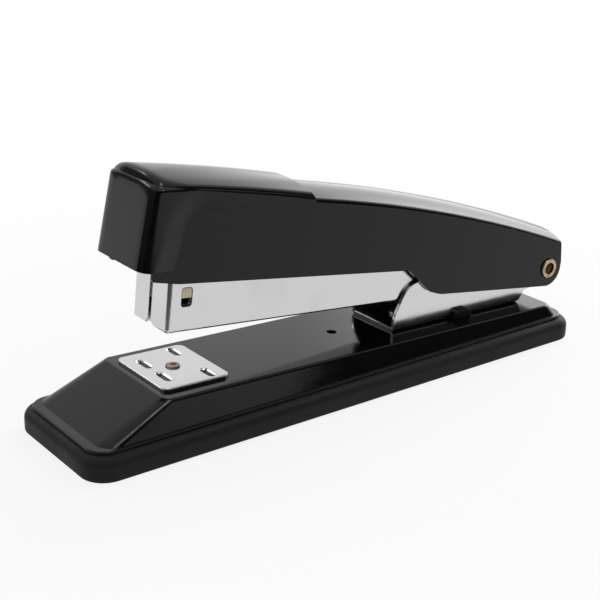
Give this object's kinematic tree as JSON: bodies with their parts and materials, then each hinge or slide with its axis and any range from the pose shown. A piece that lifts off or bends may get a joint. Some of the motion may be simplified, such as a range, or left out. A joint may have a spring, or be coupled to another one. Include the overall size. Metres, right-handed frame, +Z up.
{
  "type": "desk stapler",
  "caption": "Metal desk stapler at rest: long rubber-footed base with a turning anvil, a tilting staple magazine with a sprung pusher, and a hinged cover carrying the driver blade.",
  "frame": {"origin": "centre of the whole stapler's outline, on the table under its rubber foot", "axes": "+X runs along the stapler from its nose to its hinge, +Z is up, +Y is to its left side as seen from the hinge"},
  "size_m": [0.1726, 0.0426, 0.0714],
  "materials": {
    "rubber_pad": "matte black moulded rubber",
    "black_enamel": "gloss black enamel on pressed steel",
    "black_plastic": "gloss black moulded plastic",
    "bright_chrome": "polished chrome plate on steel",
    "plain_steel": "plain zinc plated steel",
    "spring_steel": "bare spring steel",
    "brass": "plain brass",
    "cream_plastic": "cream coloured moulded plastic"
  },
  "bodies": {
    "base": {"base_pad": "rubber_pad", "base_floor": "plain_steel", "pad_screws": "plain_steel", "base_shell": "black_enamel", "base_frame": "plain_steel", "bracket_rivets": "plain_steel", "hinge_bracket": "bright_chrome", "bracket_lugs": "black_plastic", "lift_spring": "spring_steel", "pivot_rivet": "bright_chrome", "pivot_washers": "plain_steel", "anvil_spring": "spring_steel"},
    "anvil": {"anvil_plate": "bright_chrome", "anvil_rivet": "bright_chrome"},
    "magazine": {"magazine_sleeve": "bright_chrome", "magazine_arm": "bright_chrome", "arm_rivets": "plain_steel", "arm_spacers": "plain_steel", "staple_rail": "bright_chrome", "spring_rod": "plain_steel", "rod_anchor": "black_plastic", "hold_down_block": "cream_plastic", "pusher_spring": "spring_steel"},
    "pusher": {"pusher": "plain_steel"},
    "cover": {"cover_shell": "black_enamel", "cover_cap": "black_plastic", "driver_blade": "plain_steel", "driver_rivets": "plain_steel", "cover_spring": "spring_steel"}
  },
  "joints": [
    {"name": "anvil_turn", "type": "hinge", "parent": "base", "child": "anvil", "pos_m": [-0.05076, 0, 0.01489], "axis": [0.034, 0, 0.9994], "range_deg": [0, 180]},
    {"name": "magazine_swing", "type": "hinge", "parent": "base", "child": "magazine", "pos_m": [0.08049, 0, 0.0202], "axis": [0, 1, 0], "range_deg": [-5.1, 85], "stiffness_Nm_per_rad": 2, "springref_deg": 3.32, "deforming": ["lift_spring"]},
    {"name": "cover_swing", "type": "hinge", "parent": "magazine", "child": "cover", "pos_m": [0.08049, 0, 0.0202], "axis": [0, 1, 0], "range_deg": [-2.85, 70], "stiffness_Nm_per_rad": 2, "springref_deg": 2.29, "deforming": ["cover_spring"]},
    {"name": "pusher_slide", "type": "slide", "parent": "magazine", "child": "pusher", "axis": [0.995, 0, -0.0998], "range_m": [0, 0.042], "stiffness_N_per_m": 60, "springref_m": -0.03, "deforming": ["pusher_spring"]}
  ]
}
